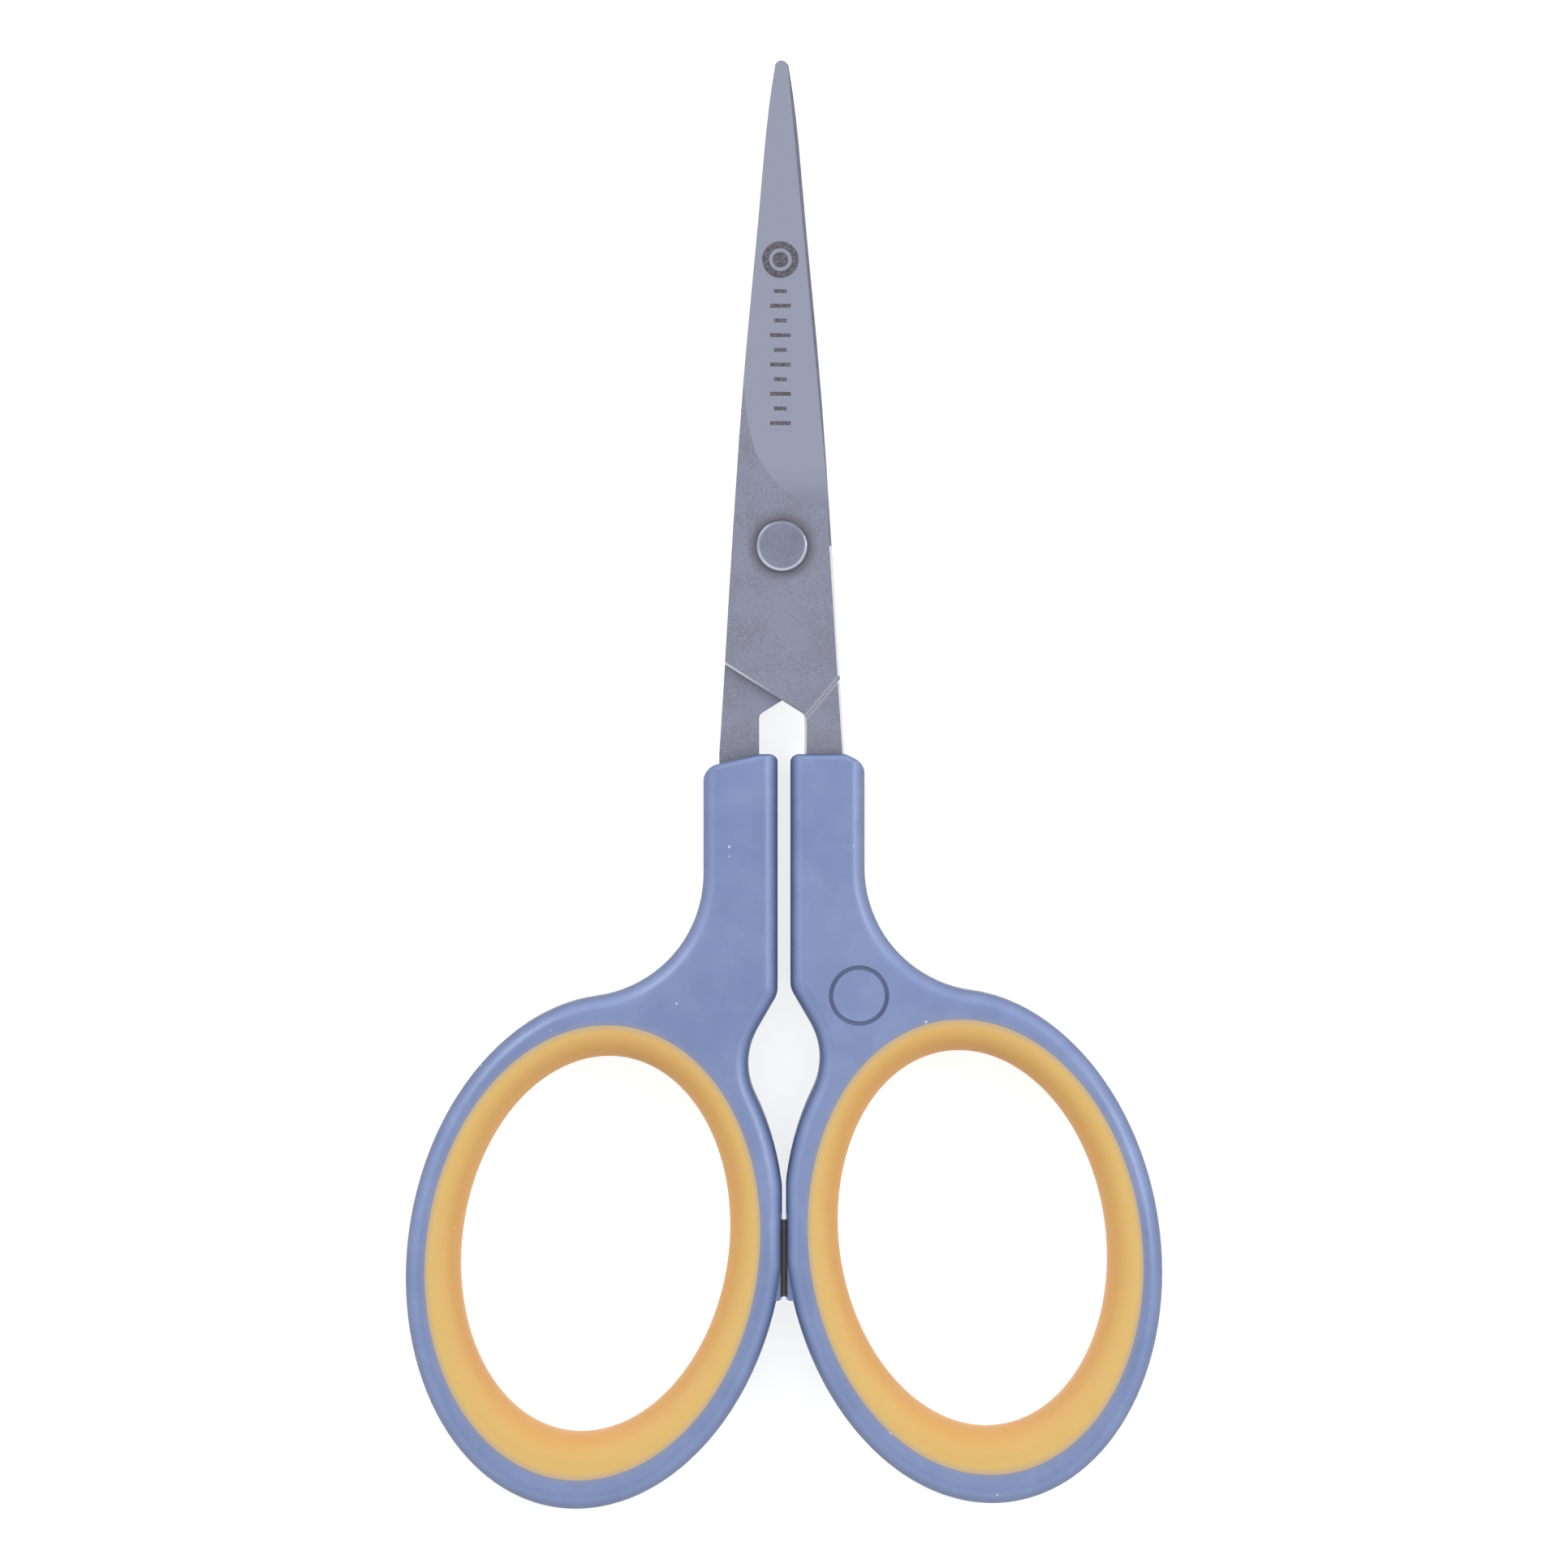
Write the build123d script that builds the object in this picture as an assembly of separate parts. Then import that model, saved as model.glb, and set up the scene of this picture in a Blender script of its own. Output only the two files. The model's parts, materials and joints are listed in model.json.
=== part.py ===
from build123d import *
import math
import os

# Small craft scissors, lying closed and flat on a table.
# Plan positions are measured from the pivot: +X to the right, +Y towards the tips, +Z up from the table.
# The finished pieces are moved at the end, so that the row's origin is under the middle of the object.

# ---- driving dimensions, millimetres ----
handle_thickness = 6.0
blade_thickness = 1.4
blade_gap = 0.04                # play between the two blades' inner faces
tip_height = 34.1               # pivot to the tip
left_drop = 0.4                 # the left loop sits this much lower than the right one
handle_centre_x = 0.15          # line midway between the two handles
mid_height = handle_thickness / 2

# ---- blade ----
tip_radius = 0.5
back_points = [(-3.5, 0), (-2.5, 13.9), (-1.55, 24.1), (-0.9, 30.9)]   # on the back's long slight curve
edge_set_back = 0.25            # cutting edge stands inside the other blade's back by this
edge_foot = Vector(2.87, 7.6)   # lower end of the sharpened edge
edge_bevel_width = 0.2
edge_bevel_height = 0.56
ricasso_top = Vector(3.23, 4.0)
corner_half_width = 4.0         # half width of the blade at its lower corner
corner_height = -8.3
throat_slope = 0.63             # slope of the lower end, rise over run
throat_radius = 0.45
shank_inner_x = 1.6
shank_outer_x = 4.4
tang_end = -30.0
tang_corner_radius = 0.6
tang_hole_radius = 0.9
tang_hole_height = -24.0
crease_top = Vector(4.2, -9.0)  # ends of the slanted crease where the front blade's shank steps down
crease_bottom = Vector(1.85, -11.85)
crease_step = 0.14
crease_run = 0.3
crease_bend_radius = 0.3
lower_end_chamfer = 0.15

# ---- ground facet on a blade's outer face ----
facet_slope_across = 0.11       # depth gained per millimetre towards the cutting edge
facet_slope_along = 0.015       # depth gained per millimetre towards the tip
facet_start = Vector(-2.9, 12.2)
facet_end_centre = Vector(3.2, 10.2)
facet_end_radius = 16.05
facet_cove_radius = 12.0        # the grinding wheel's edge
facet_reach = 8.0               # how far the cutter reaches below the blade's outer face

# ---- pivot rivet ----
rivet_head_radius = 1.83
rivet_head_height = 0.4
rivet_head_rounding = 0.2
rivet_shank_radius = 1.2
rivet_clearance = 0.03
rivet_tail_radius = 1.7
rivet_tail_height = 0.35

# ---- handles ----
stem_inner = 0.45               # distances from the handles' centre line
stem_outer = 5.65
stem_top = -14.6
edge_rounding = 1.2
stem_spare = 6.0                # length beyond the stem's end, trimmed off
stem_margin = 0.02
stem_end_slopes = {1: (4.3, 0.65), -1: (1.7, 0.95)}   # where the end starts to slope, and by how much
stem_end_rounding = 0.5
stem_inner_corner_radius = 0.6
stem_outer_corner_radius = 1.3
loop_flat = 0.14                # the loops' flat stretch beside the stops
flat_bottom = -52.7
flat_top = -46.4
flat_thickness = 4.4
flat_corner_radius = 0.3
stop_face = 0.005               # the stops themselves, sunk in the gap between the flats
stop_bottom = -52.5
stop_top = -47.1
stop_thickness = 2.4
stop_corner_radius = 0.15
bar_depth = 1.5                 # run of the flats and stops into the loop's wall

loop_long_radius = 18.1
loop_short_radius = 13.12
loop_tilt = 9.0
loop_centre = Vector(13.25, -49.1)
shoulder_radius = 8.7
neck_radius = 5.0
hook_height = -31.0
hook_angle = 30.0               # degrees between the hook's flank and the stem
hook_radius = 1.6
hook_flank_run = 6.0
shoulder_corner = (5.65, -33.5)
neck_corner = (3.0, -35.5)
flat_ends = [-44.0, -51.0]
flat_end_radius = 5.0

# ---- grip rings ----
seat_long_radius = 16.0
seat_short_radius = 11.65
seat_tilt = 8.0
seat_centre = Vector(13.4, -49.1)
hole_long_radius = 13.3
hole_short_radius = 9.37
hole_tilt = 8.5
hole_centre = Vector(13.25, -48.6)
grip_rounding = 2.0             # nearly the ring's whole width
key_depth = 0.45
key_thickness = 1.6

# ---- plain ring moulded in the right handle ----
ring_mark_centre = Vector(5.4, -31.5)
ring_mark_radius = 2.1
ring_mark_width = 0.28
ring_mark_depth = 0.2

cutter_size = 60.0              # larger than any piece it trims


def turned_over(shape):
    """The same blank turned over about the long axis through the pivot."""
    return shape.rotate(Axis((0, 0, mid_height), (0, 1, 0)), 180)


# ---- blades ----

def blade_outline():
    """Plan of the front blade: back on the left, cutting edge on the right, tang at lower right."""
    nose = tip_height - tip_radius
    nose_left = Vector(-tip_radius, nose)
    nose_top = Vector(0, tip_height)
    nose_right = Vector(tip_radius - edge_set_back / 4, nose)
    corner = Vector(-corner_half_width, corner_height)
    shoulder = Vector(corner_half_width, corner_height)
    throat = Vector(shank_inner_x, corner_height - throat_slope * (shank_inner_x + corner_half_width))
    outline = [
        Spline(corner, *back_points, nose_left),
        ThreePointArc(nose_left, nose_top, nose_right),
        Line(nose_right, edge_foot),
        Line(edge_foot, ricasso_top),
        Line(ricasso_top, shoulder),
        Line(shoulder, Vector(shank_outer_x, stem_top)),
        Line(Vector(shank_outer_x, stem_top), Vector(shank_outer_x, tang_end)),
        Line(Vector(shank_outer_x, tang_end), Vector(shank_inner_x, tang_end)),
        Line(Vector(shank_inner_x, tang_end), throat),
        Line(throat, corner),
    ]
    face = make_face(outline)
    throat_vertex = face.vertices().sort_by_distance(throat)[0]
    face = fillet(throat_vertex, throat_radius)
    return fillet(face.vertices().group_by(Axis.Y)[0], tang_corner_radius)


def sheet(step):
    """A flat sheet that steps down across a slanted crease, before it is trimmed to the outline."""
    inner = mid_height + blade_gap / 2
    outer = inner + blade_thickness
    if not step:
        return Pos(0, 0, (inner + outer) / 2) * Box(2 * cutter_size, 2 * cutter_size, blade_thickness)
    along = (crease_bottom - crease_top).normalized()
    across = Vector(-along.Y, along.X)
    section = Plane(origin=(crease_top + crease_bottom) / 2, x_dir=across, z_dir=along)
    points = [
        (-cutter_size, inner),
        (-crease_run / 2, inner),
        (crease_run / 2, inner - step),
        (cutter_size, inner - step),
        (cutter_size, outer - step),
        (crease_run / 2, outer - step),
        (-crease_run / 2, outer),
        (-cutter_size, outer),
    ]
    profile = section * make_face(Polyline(*points, close=True))
    bent = extrude(profile, amount=cutter_size, both=True)
    bends = [edge for edge in bent.edges().filter_by(Axis((0, 0, 0), along))
             if abs((edge.center() - section.origin).dot(across)) < 2 * crease_run]
    return fillet(bends, crease_bend_radius)


def facet_cutter():
    """Ground facet: a tilted plane that ends below in a round cove, as a grinding wheel leaves it."""
    outer = mid_height + blade_gap / 2 + blade_thickness
    normal = Vector(facet_slope_across, facet_slope_along, 1).normalized()
    facet = Plane(origin=(facet_start.X, facet_start.Y, outer), z_dir=normal)
    side = facet_end_centre.X - facet_end_radius
    half_size = cutter_size / 2
    upper = Pos(side + half_size, facet_end_centre.Y + half_size) * Rectangle(cutter_size, cutter_size)
    plan = upper + Pos(facet_end_centre.X, facet_end_centre.Y) * Circle(facet_end_radius)
    prism = Pos(0, 0, outer - facet_reach) * extrude(plan, amount=cutter_size)
    below = facet * Pos(0, 0, -cutter_size / 2) * Box(3 * cutter_size, 3 * cutter_size, cutter_size)
    cutter = prism - below
    floor = cutter.faces().filter_by(lambda face: face.normal_at().dot(normal) < -0.999)[0]
    rim = [edge for edge in floor.edges()
           if (edge @ 0.5).X < facet_end_radius and (edge @ 0.5).Y < facet_end_centre.Y + cutter_size / 2]
    return fillet(rim, facet_cove_radius)


def bevel_cutter():
    """Steep bevel that brings the cutting edge to the inner face."""
    inner = mid_height + blade_gap / 2
    low = Vector(edge_foot.X, edge_foot.Y, inner)
    high = Vector(tip_radius - edge_set_back / 4, tip_height - tip_radius, inner)
    along = (high - low).normalized()
    section = Plane(origin=low, x_dir=along.cross(Vector(0, 0, 1)), z_dir=along)
    lean = edge_bevel_width / edge_bevel_height
    reach = 2 * blade_thickness
    wedge = make_face(Polyline((0, 0), (-lean * reach, reach), (reach, reach), (reach, 0), close=True))
    return extrude(section * wedge, amount=cutter_size)


def blade(hole_radius, step):
    """One blade, as the front blade lies."""
    plan = extrude(blade_outline(), amount=handle_thickness)
    blank = sheet(step) & plan
    over_lower_end = Vector(0, corner_height - throat_slope * corner_half_width, handle_thickness)
    blank = chamfer(blank.edges().sort_by_distance(over_lower_end)[0], lower_end_chamfer)
    blank -= facet_cutter()
    blank -= bevel_cutter()
    blank -= Cylinder(hole_radius, cutter_size)
    tang_middle = (shank_inner_x + shank_outer_x) / 2
    blank -= Pos(tang_middle, tang_hole_height) * Cylinder(tang_hole_radius, cutter_size)
    return blank


# ---- pivot ----

def pivot_rivet():
    """Flat headed rivet: shank through both blades, low formed tail under the rear one."""
    blade_top = mid_height + blade_gap / 2 + blade_thickness
    blade_bottom = mid_height - blade_gap / 2 - blade_thickness
    head_bottom = blade_top + blade_gap / 2
    head = Pos(0, 0, head_bottom + rivet_head_height / 2) * Cylinder(rivet_head_radius, rivet_head_height)
    head = fillet(head.edges().group_by(Axis.Z)[-1], rivet_head_rounding)
    shank_length = head_bottom - blade_bottom
    shank = Pos(0, 0, blade_bottom + shank_length / 2) * Cylinder(rivet_shank_radius, shank_length)
    tail = Pos(0, 0, blade_bottom - rivet_tail_height / 2) * Cylinder(rivet_tail_radius, rivet_tail_height)
    tail = fillet(tail.edges().group_by(Axis.Z)[0], rivet_tail_height * 0.8)
    return head + shank + tail


# ---- handles and grips ----

def loop_ellipse(side, centre, long_radius, short_radius, tilt):
    """Leaning ellipse of a loop, its top nearer the centre line; side is 1 for right, -1 for left."""
    drop = left_drop if side < 0 else 0
    place = Pos(handle_centre_x + side * centre.X, centre.Y - drop)
    return place * Rot(0, 0, side * tilt + 180) * Ellipse(short_radius, long_radius)


def handle_outline(side):
    """Plan of a handle: straight stem, swept shoulder, loop, flat beside the stop, and hooked neck."""
    drop = left_drop if side < 0 else 0

    def at(u, y):
        return Vector(handle_centre_x + side * u, y)

    flank_rise = hook_flank_run / math.tan(math.radians(hook_angle))
    hook = at(stem_inner, hook_height - drop)
    flank_end = at(stem_inner + hook_flank_run, hook_height - drop - flank_rise)
    stem_foot = at(stem_outer, flank_end.Y)
    stem_head = stem_top + stem_spare
    stem = make_face(Polyline(at(stem_inner, stem_head), at(stem_outer, stem_head), stem_foot,
                              flank_end, hook, close=True))
    loop = loop_ellipse(side, loop_centre, loop_long_radius, loop_short_radius, loop_tilt)
    beyond_flat = Pos(at(loop_flat - loop_short_radius / 2, loop_centre.Y)) * Rectangle(
        loop_short_radius, 2 * loop_short_radius)
    plan = stem + (loop - beyond_flat)
    corners = [
        (hook, hook_radius),
        (at(shoulder_corner[0], shoulder_corner[1] - drop), shoulder_radius),
        (at(neck_corner[0], neck_corner[1] - drop), neck_radius),
        (at(loop_flat, flat_ends[0] - drop), flat_end_radius),
        (at(loop_flat, flat_ends[1] - drop), flat_end_radius),
    ]
    for place, radius in corners:
        corner = plan.vertices().sort_by_distance(place)[0]
        plan = fillet(corner, radius)
    return plan


def stem_end_cutter(side):
    """Trims the stem to its end: flat near the centre line, then sloping down a little, all rounded."""
    slope_start, slope_drop = stem_end_slopes[side]

    def at(u, y):
        return Vector(handle_centre_x + side * u, y)

    low = stem_top - 2 * stem_spare
    inner = stem_inner - stem_margin
    outer = stem_outer + stem_margin
    inner_corner = at(inner, stem_top)
    outer_corner = at(outer, stem_top - slope_drop)
    keep = make_face(Polyline(at(inner, low), inner_corner, at(slope_start, stem_top), outer_corner,
                              at(outer, low), close=True))
    keep = fillet(keep.vertices().sort_by_distance(inner_corner)[0], stem_inner_corner_radius)
    keep = fillet(keep.vertices().sort_by_distance(outer_corner)[0], stem_outer_corner_radius)
    kept = extrude(keep, handle_thickness, dir=(0, 0, 1))
    rims = kept.edges().group_by(Axis.Z)
    kept = fillet(rims[0] + rims[-1], stem_end_rounding)
    middle = at((stem_inner + stem_outer) / 2, stem_top)
    around = Pos(middle.X, middle.Y, mid_height) * Box(2 * stem_outer, 2 * stem_spare, 2 * handle_thickness)
    return around - kept


def bar_in_gap(side, face, low, high, thickness, corner_radius):
    """Upright bar on the loop's inner side, its face at the given distance from the centre line."""
    x = handle_centre_x + side * (face + bar_depth / 2)
    bar = Pos(x, (low + high - left_drop) / 2, mid_height) * Box(bar_depth, high - low, thickness)
    corners = bar.edges().filter_by(Axis.Z).sort_by(Axis.X, reverse=side < 0)[:2]
    return fillet(corners, corner_radius)


def stops(side):
    """Flat on the loop, and the small stop on it that meets its twin when the scissors close."""
    flat = bar_in_gap(side, loop_flat, flat_bottom, flat_top, flat_thickness, flat_corner_radius)
    stop = bar_in_gap(side, stop_face, stop_bottom, stop_top, stop_thickness, stop_corner_radius)
    return flat + stop


def grip_seat(side):
    """Opening in the handle that the grip ring fills, with a keying groove half way up its wall."""
    seat_plan = loop_ellipse(side, seat_centre, seat_long_radius, seat_short_radius, seat_tilt)
    seat = extrude(seat_plan, handle_thickness)
    key_plan = loop_ellipse(
        side, seat_centre, seat_long_radius + key_depth, seat_short_radius + key_depth, seat_tilt)
    key = Pos(0, 0, mid_height - key_thickness / 2) * extrude(key_plan, key_thickness)
    return seat + key


def grip_ring(side):
    """Soft ring pressed in a loop, rounded over towards the finger hole on both faces."""
    hole_plan = loop_ellipse(side, hole_centre, hole_long_radius, hole_short_radius, hole_tilt)
    hole = extrude(hole_plan, handle_thickness)
    ring = grip_seat(side) - hole
    hole_size = 2 * max(hole_long_radius, hole_short_radius)
    rims = [edge for edge in ring.edges().filter_by(GeomType.ELLIPSE)
            if abs(edge.center(CenterOf.BOUNDING_BOX).Z - mid_height) > mid_height - 0.01
            and edge.bounding_box().size.Y < hole_size + 0.2]
    return fillet(rims, grip_rounding)


def handle(side, tang):
    """Hard handle moulded round the tang."""
    body = extrude(handle_outline(side), handle_thickness, dir=(0, 0, 1))
    rims = body.edges().group_by(Axis.Z)
    body = fillet(rims[0] + rims[-1], edge_rounding)
    body -= stem_end_cutter(side)
    body += stops(side)
    body -= grip_seat(side)
    body -= tang
    return body


def ring_mark():
    """Plain round groove in the right handle's upper face."""
    plan = Circle(ring_mark_radius) - Circle(ring_mark_radius - ring_mark_width)
    place = Pos(ring_mark_centre.X, ring_mark_centre.Y, handle_thickness - ring_mark_depth)
    return place * extrude(plan, 2 * ring_mark_depth)


front_blade = blade(rivet_shank_radius + rivet_clearance, crease_step)
rear_blade = turned_over(blade(rivet_shank_radius, 0))

pieces = {
    "front_blade": front_blade,
    "rear_blade": rear_blade,
    "pivot_rivet": pivot_rivet(),
    "right_handle": handle(1, front_blade) - ring_mark(),
    "left_handle": handle(-1, rear_blade),
    "right_grip": grip_ring(1),
    "left_grip": grip_ring(-1),
}

box = Compound(list(pieces.values())).bounding_box()
to_row = Pos(-box.center().X, -box.center().Y, -box.min.Z)

os.makedirs("parts", exist_ok=True)
for name, piece in pieces.items():
    export_step(to_row * piece, f"parts/{name}.step")
print("size", box.size, "pivot in the row frame", to_row.position)
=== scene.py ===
import bmesh
import bpy
import json
import math
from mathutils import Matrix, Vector

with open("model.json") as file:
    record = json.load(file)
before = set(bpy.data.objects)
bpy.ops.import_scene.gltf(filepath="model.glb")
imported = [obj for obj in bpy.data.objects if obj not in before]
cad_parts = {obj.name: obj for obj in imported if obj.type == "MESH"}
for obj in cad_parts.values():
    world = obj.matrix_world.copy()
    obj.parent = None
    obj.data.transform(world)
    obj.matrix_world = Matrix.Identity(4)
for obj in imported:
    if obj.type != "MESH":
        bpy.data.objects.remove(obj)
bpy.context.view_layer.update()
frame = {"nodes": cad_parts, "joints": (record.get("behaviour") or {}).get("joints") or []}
print("frame loaded:", ", ".join(sorted(frame["nodes"])))

nodes = frame["nodes"]
mm = 0.001
pivot = Vector(frame["joints"][0]["pos_m"])


# one shader output, so that masks and colours can be worked out with plain expressions
class Signal:
    def __init__(self, finish, socket):
        self.finish = finish
        self.socket = socket

    def maths(self, operation, first, second=0.0):
        return self.finish.node("ShaderNodeMath", {"operation": operation}, {0: first, 1: second})

    def __add__(self, other): return self.maths("ADD", self, other)
    def __radd__(self, other): return self.maths("ADD", other, self)
    def __sub__(self, other): return self.maths("SUBTRACT", self, other)
    def __rsub__(self, other): return self.maths("SUBTRACT", other, self)
    def __mul__(self, other): return self.maths("MULTIPLY", self, other)
    def __rmul__(self, other): return self.maths("MULTIPLY", other, self)
    def __truediv__(self, other): return self.maths("DIVIDE", self, other)
    def __pow__(self, other): return self.maths("POWER", self, other)
    def __abs__(self): return self.maths("ABSOLUTE", self)
    def __lt__(self, other): return self.maths("LESS_THAN", self, other)
    def __gt__(self, other): return self.maths("GREATER_THAN", self, other)
    def fraction(self): return self.maths("FRACT", self)
    def most(self, other): return self.maths("MAXIMUM", self, other)

    # 0 below low, 1 above high, smooth between
    def ramp(self, low, high):
        return self.finish.node("ShaderNodeMapRange", {"interpolation_type": "SMOOTHSTEP"},
                                {"Value": self, "From Min": low, "From Max": high})

    def part(self, axis):
        return self.finish.node("ShaderNodeSeparateXYZ", {}, {"Vector": self}, axis)


# a material being built: every node comes from node(), constants go straight on the shader
class Finish:
    def __init__(self, name, constants):
        self.material = bpy.data.materials.new(name)
        self.material.use_nodes = True
        self.tree = self.material.node_tree
        self.shader = self.tree.nodes["Principled BSDF"]
        for socket, value in constants.items():
            self.shader.inputs[socket].default_value = value
        self.place = self.node("ShaderNodeTexCoord", {}, {}, "Object")
        self.facing = self.node("ShaderNodeNewGeometry", {}, {}, "Normal")

    def node(self, kind, settings, inputs, output=0):
        made = self.tree.nodes.new(kind)
        for setting, value in settings.items():
            setattr(made, setting, value)
        for socket, value in inputs.items():
            if isinstance(value, Signal):
                self.tree.links.new(value.socket, made.inputs[socket])
            else:
                made.inputs[socket].default_value = value
        return Signal(self, made.outputs[output])

    # grains per millimetre, stretched along the axes given
    def noise(self, perMm, stretch=(1, 1, 1), detail=3.0):
        scaled = self.node("ShaderNodeVectorMath", {"operation": "MULTIPLY"},
                           {0: self.place, 1: tuple(perMm / mm * s for s in stretch)})
        return self.node("ShaderNodeTexNoise", {"noise_dimensions": "3D"},
                         {"Vector": scaled, "Scale": 1.0, "Detail": detail, "Roughness": 0.5})

    # sparse round specks, 1 at their middle
    def specks(self, perMm, size, share):
        scaled = self.node("ShaderNodeVectorMath", {"operation": "SCALE"},
                           {0: self.place, "Scale": perMm / mm})
        near = self.node("ShaderNodeTexVoronoi", {}, {"Vector": scaled, "Scale": 1.0}, "Distance")
        cell = self.node("ShaderNodeTexVoronoi", {}, {"Vector": scaled, "Scale": 1.0}, "Color")
        chosen = cell.part(0) > (1.0 - share)
        return (1.0 - near.ramp(size * 0.6, size)) * chosen

    # a Mix node's colour sockets go by number, because its number and vector sockets share their names
    def mix(self, factor, first, second):
        def colour(value):
            return value if isinstance(value, Signal) else (*value, 1.0)
        return self.node("ShaderNodeMix", {"data_type": "RGBA", "clamp_factor": True},
                         {"Factor": factor, 6: colour(first), 7: colour(second)}, 2)

    # bumps are given as (height, distance in mm), coarse first
    def done(self, colour, roughness, bumps):
        self.connect("Base Color", colour)
        self.connect("Roughness", roughness)
        normal = None
        for height, distance in bumps:
            inputs = {"Height": height, "Distance": distance * mm, "Strength": 1.0}
            if normal:
                inputs["Normal"] = normal
            normal = self.node("ShaderNodeBump", {}, inputs)
        self.connect("Normal", normal)
        return self.material

    def connect(self, socket, signal):
        self.tree.links.new(signal.socket, self.shader.inputs[socket])


# the usual screen colour curve, 0 to 255, undone
def srgb(red, green, blue):
    def linear(value):
        value /= 255
        return value / 12.92 if value <= 0.04045 else ((value + 0.055) / 1.055) ** 2.4
    return tuple(linear(value) for value in (red, green, blue))


def put(material, *names):
    for name in names:
        mesh = nodes[name].data
        mesh.materials.clear()
        mesh.materials.append(material)


blade = {
    "steel": srgb(127, 130, 148), "steelDark": srgb(115, 117, 131), "ground": srgb(131, 135, 152),
    "paintedHighlight": srgb(222, 223, 228), "tan": srgb(150, 132, 120), "stain": srgb(112, 98, 92),
    # the etching colour, also used for the painted shadow round the rivet
    "markAndShadow": srgb(74, 66, 66),
    "frontFace": 3.3,                                   # marks are only above this height, mm
    "markX": -0.1, "discY": 20.1, "discRadius": 1.28, "discGap": (0.55, 0.8),
    "rowLow": 8.1, "rowHigh": 18.4, "rowPitch": 1.03,   # graduation ticks, mm from the pivot
    "tickHalf": 0.13, "tickReach": 0.45, "longExtra": 0.27,
    "mouthLow": -15.2, "mouthHigh": -11.8,              # where the tint fades out above the handles
    # the painted shadow round the rivet head fades between 1.75 and 2.7 mm from the pivot
    "creaseBelow": -6.0, "shadowFrom": 1.75, "shadowTo": 2.7,
    # how level each kind of surface is: 1 lies flat, 0 stands upright
    "groundLevel": 0.95, "groundFade": (0.9938, 0.9994), "chamferLevel": (0.6, 0.85),
    "creaseRise": (0.86, 0.92), "creaseFall": (0.96, 0.995), "bevelLevel": (0.2, 0.5),
}


def bladeSteel():
    finish = Finish("blade_steel", {"Metallic": 0.8, "Specular IOR Level": 0.5})
    along = (finish.place.part(1) - pivot.y) / mm
    across = (finish.place.part(0) - pivot.x) / mm
    fromPivot = (across ** 2.0 + along ** 2.0) ** 0.5
    up = finish.facing.part(2)
    tilt = abs(up)
    # surfaces told apart by how far they lean from level
    chamferLow, chamferHigh = blade["chamferLevel"]
    bevelLow, bevelHigh = blade["bevelLevel"]
    ground = (tilt > blade["groundLevel"]) * (1.0 - tilt.ramp(*blade["groundFade"]))
    chamfer = (tilt > chamferLow) * (tilt < chamferHigh)
    crease = tilt.ramp(*blade["creaseRise"]) * (1.0 - tilt.ramp(*blade["creaseFall"]))
    crease = crease * (along < blade["creaseBelow"])
    bevel = (tilt > bevelLow) * (tilt < bevelHigh)
    mottle = finish.noise(6.5, detail=3.0)
    cloud = finish.noise(0.3, detail=3.0)
    smear = finish.noise(0.7, stretch=(1.6, 0.5, 1.0), detail=2.0)
    streak = finish.noise(1.6, stretch=(6.0, 0.2, 6.0), detail=3.0)
    grindLines = finish.noise(2.2, stretch=(0.15, 8.0, 8.0), detail=2.0)
    plain = finish.mix((mottle * 0.6 + cloud * 0.4).ramp(0.38, 0.6), blade["steelDark"], blade["steel"])
    colour = finish.mix(ground * (0.85 + grindLines * 0.2), plain, blade["ground"])
    # heat tint and old glue beside the handle mouths
    nearMouth = 1.0 - along.ramp(blade["mouthLow"], blade["mouthHigh"])
    nearMouth = nearMouth * (cloud * 0.6 + smear * 0.4).ramp(0.42, 0.62)
    colour = finish.mix(nearMouth * 0.5, colour, blade["stain"])
    colour = finish.mix(bevel * 0.6, colour, blade["tan"])
    # painted highlight on the lower chamfers and along the crease
    colour = finish.mix((chamfer * (along < 0.0)).most(crease * 0.3), colour, blade["paintedHighlight"])
    # painted contact shadow round the rivet head
    rivetShadow = 1.0 - fromPivot.ramp(blade["shadowFrom"], blade["shadowTo"])
    rivetShadow = rivetShadow * tilt.ramp(0.9, 0.99) * (0.6 + smear * 0.7)
    colour = finish.mix(rivetShadow * 0.6, colour, blade["markAndShadow"])
    # etched plain scale and dot on the ground face
    rowPlace = (along - blade["rowLow"]) / blade["rowPitch"]
    tick = abs(rowPlace.fraction() - 0.5) < blade["tickHalf"]
    longTick = (rowPlace * 0.5).fraction() < 0.5
    inRow = (along > blade["rowLow"]) * (along < blade["rowHigh"])
    reach = blade["tickReach"] + longTick * blade["longExtra"]
    row = tick * inRow * (abs(across - blade["markX"]) < reach)
    toDisc = ((across - blade["markX"]) ** 2.0 + (along - blade["discY"]) ** 2.0) ** 0.5
    gapInner, gapOuter = blade["discGap"]
    disc = (toDisc < blade["discRadius"]) * (1.0 - (toDisc > gapInner) * (toDisc < gapOuter))
    etched = row.most(disc) * (up > 0.5) * (finish.place.part(2) > blade["frontFace"] * mm)
    worn = 0.5 + mottle.ramp(0.35, 0.6) * 0.4
    colour = finish.mix(etched * worn, colour, blade["markAndShadow"])
    rough = 0.36 + mottle * 0.1 + cloud * 0.06 + etched * 0.2 - ground * 0.04 - chamfer * 0.1
    brushed = streak * (1.0 - ground) + grindLines * ground
    return finish.done(colour, rough, [(brushed, 0.0015), (mottle, 0.0015), (1.0 - etched, 0.006)])


rivet = {
    "steel": srgb(117, 122, 140), "dark": srgb(107, 111, 128), "paintedHighlight": srgb(186, 190, 206),
    "rimRise": (1.5, 1.68), "rimFall": (1.76, 1.83),    # the rim's painted highlight, mm from the centre
    "rimHighlightFade": (-1.4, 1.2),                             # the painted highlight fades from the lower side to the upper, mm
}


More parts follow.
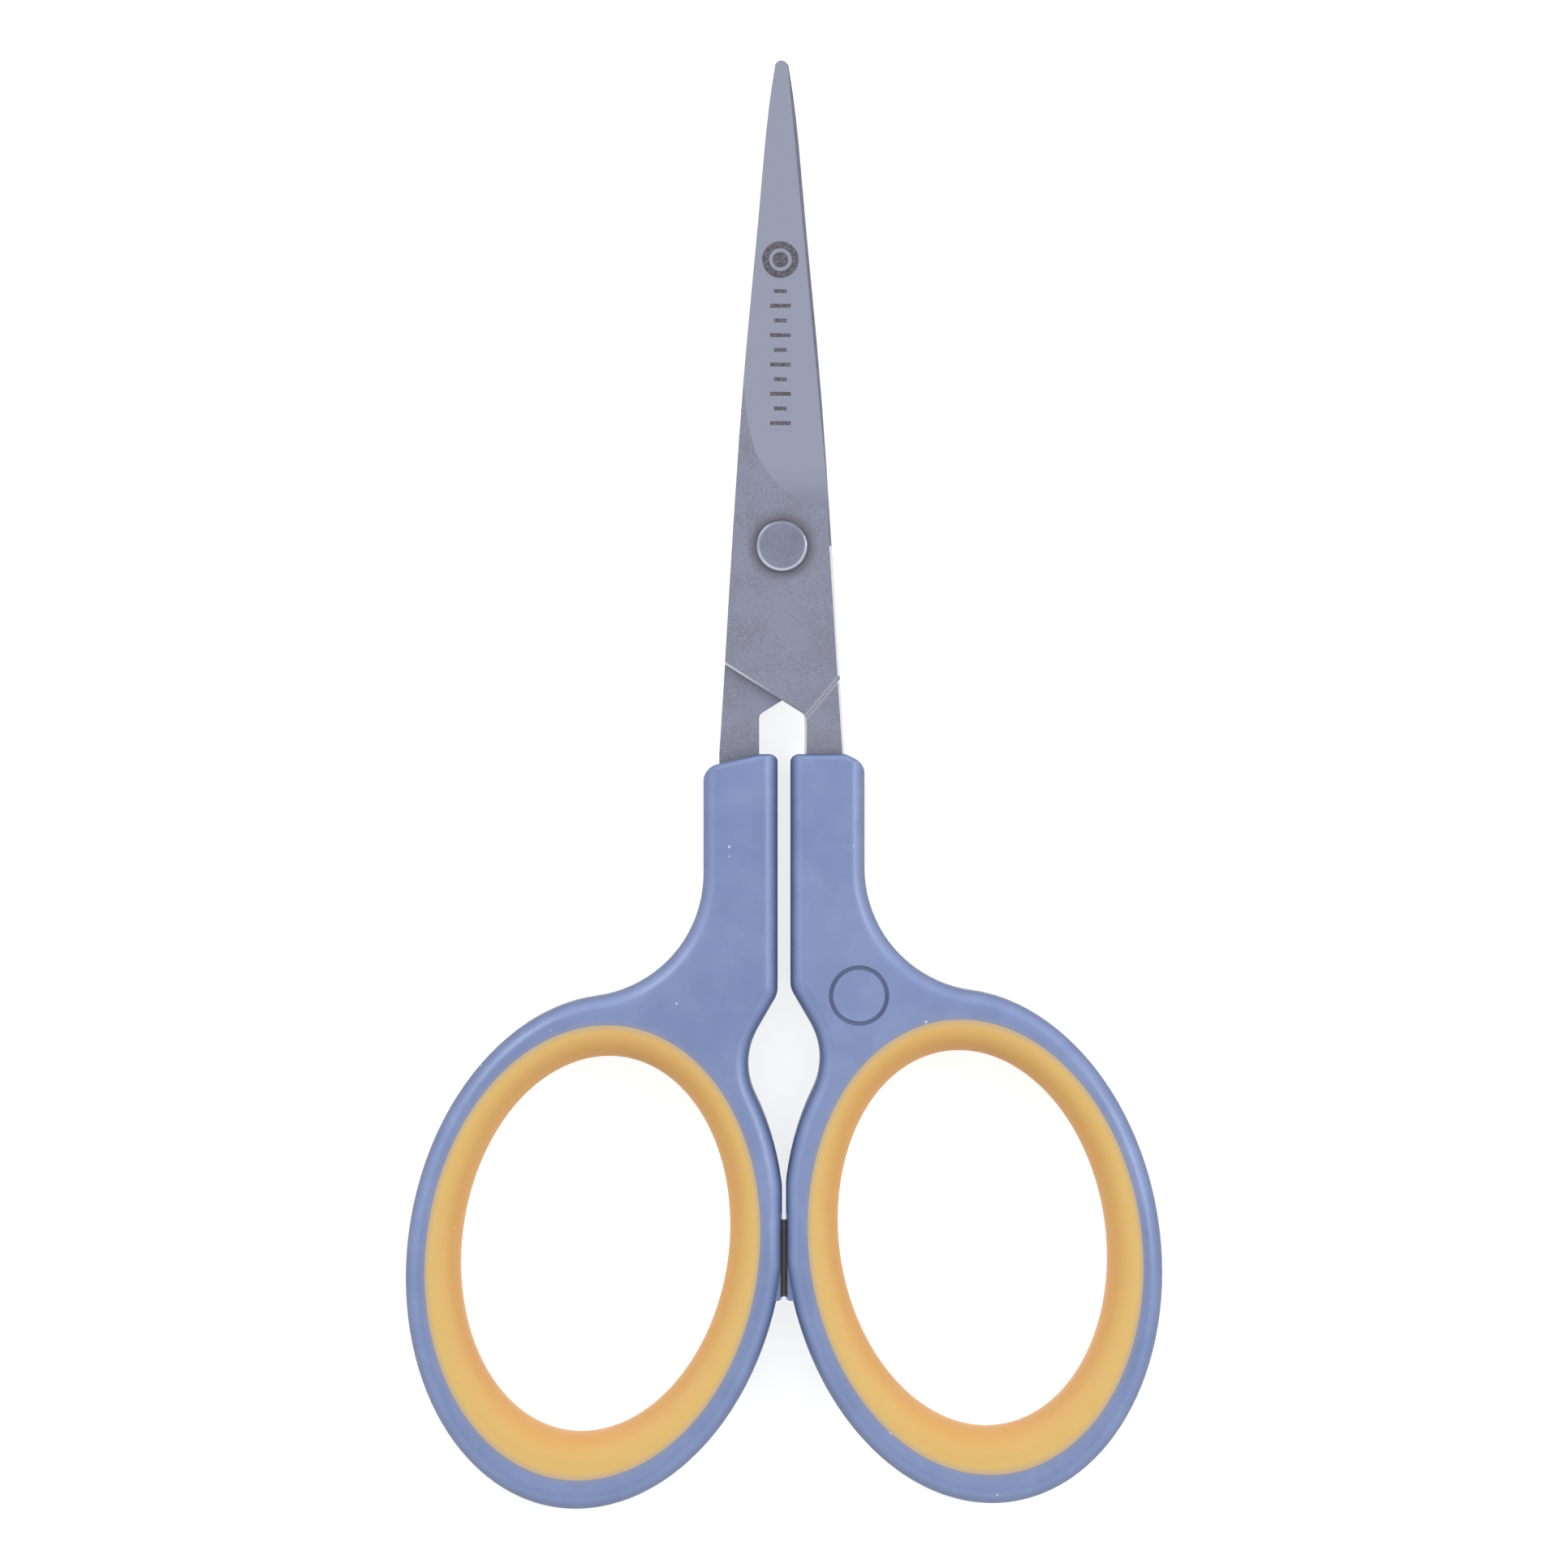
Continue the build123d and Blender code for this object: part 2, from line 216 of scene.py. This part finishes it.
def rivetSteel():
    finish = Finish("rivet_steel", {"Metallic": 0.8})
    across = (finish.place.part(0) - pivot.x) / mm
    along = (finish.place.part(1) - pivot.y) / mm
    radius = (across ** 2.0 + along ** 2.0) ** 0.5
    turned = (radius * 7.0 + finish.noise(1.2) * 1.5).fraction()
    mottle = finish.noise(5.0, detail=3.0)
    cloud = finish.noise(0.7, detail=2.0)
    colour = finish.mix((mottle * 0.5 + cloud * 0.5).ramp(0.36, 0.62), rivet["dark"], rivet["steel"])
    # painted highlight on the rim, mostly on its lower side
    rimHighlight = radius.ramp(*rivet["rimRise"]) * (1.0 - radius.ramp(*rivet["rimFall"]))
    rimHighlight = rimHighlight * (1.0 - along.ramp(*rivet["rimHighlightFade"]) * 0.75)
    colour = finish.mix(rimHighlight * (0.6 + cloud * 0.6), colour, rivet["paintedHighlight"])
    rough = 0.33 + mottle * 0.1 - rimHighlight * 0.05
    return finish.done(colour, rough, [(turned, 0.0006), (mottle, 0.0015)])


# the rubber rings' outlines on the right loop: centre from the pivot and radii in mm, lean in degrees
loops = {
    "seam": (13.4, -49.1, 16.0, 11.65, 8.0),
    "hole": (13.25, -48.6, 13.3, 9.37, 8.5),
    "leftDrop": 0.4,    # the left loop is mirrored and this much lower
}


# 1 on the leaning ellipse given, less inside it, on either loop
def loopRing(finish, outline):
    centreX, centreY, longRadius, shortRadius, tilt = outline
    lean = math.radians(tilt)
    across = finish.place.part(0) / mm
    along = (finish.place.part(1) - pivot.y) / mm + (across < 0.0) * loops["leftDrop"]
    outward = abs(across) - centreX
    upward = along - centreY
    narrow = (outward * math.cos(lean) + upward * math.sin(lean)) / shortRadius
    tall = (upward * math.cos(lean) - outward * math.sin(lean)) / longRadius
    return (narrow ** 2.0 + tall ** 2.0) ** 0.5


handle = {
    "blue": srgb(99, 116, 158), "paleAndHighlight": srgb(129, 146, 186), "paintedShade": srgb(62, 76, 114),
    "seam": srgb(132, 128, 136), "dust": srgb(205, 212, 228), "stopShadow": srgb(30, 25, 27),
    "middle": 3.0,      # mid height, mm
    "centreX": 0.15, "stopY": -49.9, "stopLength": 5.4, "stopHalf": 0.27, "stopHigh": 2.3,
    "ringX": 5.4, "ringY": -31.5, "ringInner": 1.8, "ringOuter": 2.12,
    "bleedFade": (1.0, 1.028),          # across the seam, where 1 is the seam itself
    "specks": (0.8, 0.09, 0.12),        # cells per mm, size in a cell, share of the cells
    "partingFade": (0.04, 0.1),
}


def handlePlastic():
    finish = Finish("handle_plastic", {"IOR": 1.49})
    across = (finish.place.part(0) - pivot.x) / mm
    along = (finish.place.part(1) - pivot.y) / mm
    up = finish.facing.part(2)
    cloud = finish.noise(0.12, detail=3.0)
    blotch = finish.noise(0.55, detail=3.0)
    grain = finish.noise(8.0, detail=2.0)
    orangePeel = finish.noise(1.1, detail=2.0)
    # painted highlight on the rounded edges, which come out a little paler than the flats
    ridgeHighlight = (1.0 - abs(up).ramp(0.9, 0.999)) * abs(up).ramp(0.6, 0.85)
    colour = finish.mix(cloud.ramp(0.3, 0.7) * 0.3 + blotch.ramp(0.4, 0.7) * 0.15 + ridgeHighlight * 0.45,
                        handle["blue"], handle["paleAndHighlight"])
    # painted shade on the steep sides
    colour = finish.mix((1.0 - abs(up).ramp(0.2, 0.75)) * 0.85, colour, handle["paintedShade"])
    # painted shade in the moulded ring's groove, and painted shadow over the stops between the loops
    toRing = ((across - handle["ringX"]) ** 2.0 + (along - handle["ringY"]) ** 2.0) ** 0.5
    groove = (toRing > handle["ringInner"]) * (toRing < handle["ringOuter"]) * (up > 0.0)
    colour = finish.mix(groove * 0.55, colour, handle["paintedShade"])
    high = abs(finish.place.part(2) / mm - handle["middle"])
    stopShade = (abs(across - handle["centreX"]) < handle["stopHalf"]) * (high < handle["stopHigh"])
    stopShade = stopShade * (abs(along - handle["stopY"]) < handle["stopLength"] / 2)
    # near black painted shadow over the stops, deep in the gap between the loops
    colour = finish.mix(stopShade * 0.95, colour, handle["stopShadow"])
    # rubber colour bled into the plastic at the seam
    bleed = 1.0 - loopRing(finish, loops["seam"]).ramp(*handle["bleedFade"])
    colour = finish.mix(bleed * 0.55, colour, handle["seam"])
    dust = finish.specks(*handle["specks"])
    colour = finish.mix(dust * 0.7, colour, handle["dust"])
    scuff = finish.noise(0.5, stretch=(1.0, 5.0, 1.0), detail=4.0).ramp(0.6, 0.72)
    rough = 0.3 + grain * 0.1 + cloud * 0.08 + dust * 0.2 + scuff * 0.06
    # faint parting line round the sides at mid height
    parting = (1.0 - high.ramp(*handle["partingFade"])) * (abs(up) < 0.3)
    return finish.done(colour, rough, [(orangePeel, 0.003), (grain, 0.0015), (parting, 0.02)])


grip = {
    "yellow": srgb(202, 167, 96), "orange": srgb(205, 155, 91), "paintedShade": srgb(208, 155, 89),
    "seam": srgb(166, 152, 134), "dust": srgb(240, 222, 186),
    "holeFade": (1.0, 1.2),           # outwards from the hole, where 1 is its rim
    "seamFade": (0.965, 1.0),
    "specks": (1.0, 0.08, 0.04),
}


def gripRubber():
    finish = Finish("grip_rubber", {"IOR": 1.45, "Sheen Weight": 0.06, "Sheen Roughness": 0.5})
    toHole = loopRing(finish, loops["hole"])
    toSeam = loopRing(finish, loops["seam"])
    cloud = finish.noise(0.22, detail=3.0)
    blotch = finish.noise(0.9, detail=2.0)
    grain = finish.noise(9.0, detail=2.0)
    # yellow at the seam, turning orange towards the hole
    inward = 1.0 - (toHole + (cloud - 0.5) * 0.08).ramp(*grip["holeFade"])
    colour = finish.mix(inward * 0.9 + blotch.ramp(0.45, 0.7) * 0.12, grip["yellow"], grip["orange"])
    # painted shade on the steep inner walls
    steep = 1.0 - abs(finish.facing.part(2)).ramp(0.0, 0.4)
    colour = finish.mix(steep * 0.5, colour, grip["paintedShade"])
    colour = finish.mix(toSeam.ramp(*grip["seamFade"]) * 0.75, colour, grip["seam"])
    dust = finish.specks(*grip["specks"])
    colour = finish.mix(dust * 0.6, colour, grip["dust"])
    rough = 0.5 + grain * 0.12 + blotch * 0.06
    return finish.done(colour, rough, [(blotch, 0.004), (grain, 0.002)])


put(bladeSteel(), "front_blade", "rear_blade")
put(rivetSteel(), "pivot_rivet")
put(handlePlastic(), "left_handle", "right_handle")
put(gripRubber(), "left_grip", "right_grip")
print("finishes on")


studio = {
    # the camera looks straight down; viewWidth is what it spans at viewHeight
    "distance": 0.62, "viewWidth": 0.11012, "viewHeight": 0.0035, "sensor": 36.0, "clip": (0.01, 10),
    "floorSize": 1.2, "floorDrop": 0.02 * mm, "floorGlow": 0.75, "skyStrength": 0.6,
    "floorColour": (0.42, 0.42, 0.425), "fibreColour": (0.4, 0.4, 0.405),
    # name, place, width and power of each lamp
    "lamps": [
        ("overhead", (0.0, 0.0, 1.0), 1.2, 3.1),
        ("left_window", (-0.4, 0.4, 0.45), 0.22, 2.0),
        ("right_card", (0.45, 0.1, 0.4), 0.2, 1.3),
    ],
}


def buildFloor():
    shape = bmesh.new()
    bmesh.ops.create_grid(shape, x_segments=1, y_segments=1, size=studio["floorSize"] / 2)
    bmesh.ops.translate(shape, verts=shape.verts, vec=(0, 0, -studio["floorDrop"]))
    mesh = bpy.data.meshes.new("floor")
    shape.to_mesh(mesh)
    shape.free()
    floor = bpy.data.objects.new("floor", mesh)
    bpy.context.scene.collection.objects.link(floor)
    # a lit table top, so that gaps in the object stay pale
    finish = Finish("floor_paper", {"Specular IOR Level": 0.1, "Emission Color": (1, 1, 1, 1),
                                    "Emission Strength": studio["floorGlow"]})
    fibre = finish.noise(3.0, detail=3.0)
    colour = finish.mix(fibre.ramp(0.3, 0.7) * 0.5, studio["floorColour"], studio["fibreColour"])
    mesh.materials.append(finish.done(colour, 0.85 + fibre * 0.1, [(fibre, 0.002)]))


def softLight(name, place, size, watts):
    light = bpy.data.lights.new(name, "AREA")
    light.shape = "DISK"
    light.size = size
    light.energy = watts
    lamp = bpy.data.objects.new(name, light)
    bpy.context.scene.collection.objects.link(lamp)
    lamp.location = place
    lamp.rotation_euler = (Vector((0, 0, 0)) - Vector(place)).to_track_quat("-Z", "Y").to_euler()


def buildStudio():
    buildFloor()
    for lamp in studio["lamps"]:
        softLight(*lamp)
    world = bpy.data.worlds.new("studio")
    bpy.context.scene.world = world
    world.use_nodes = True
    world.node_tree.nodes["Background"].inputs["Color"].default_value = (1, 1, 1, 1)
    world.node_tree.nodes["Background"].inputs["Strength"].default_value = studio["skyStrength"]
    bpy.context.scene.view_settings.view_transform = "Standard"


def buildCamera():
    camera = bpy.data.cameras.new("camera")
    camera.sensor_width = studio["sensor"]
    camera.lens = studio["sensor"] * (studio["distance"] - studio["viewHeight"]) / studio["viewWidth"]
    camera.clip_start, camera.clip_end = studio["clip"]
    eye = bpy.data.objects.new("camera", camera)
    bpy.context.scene.collection.objects.link(eye)
    eye.location = (0, 0, studio["distance"])
    bpy.context.scene.camera = eye


buildStudio()
buildCamera()
print("studio and camera set")
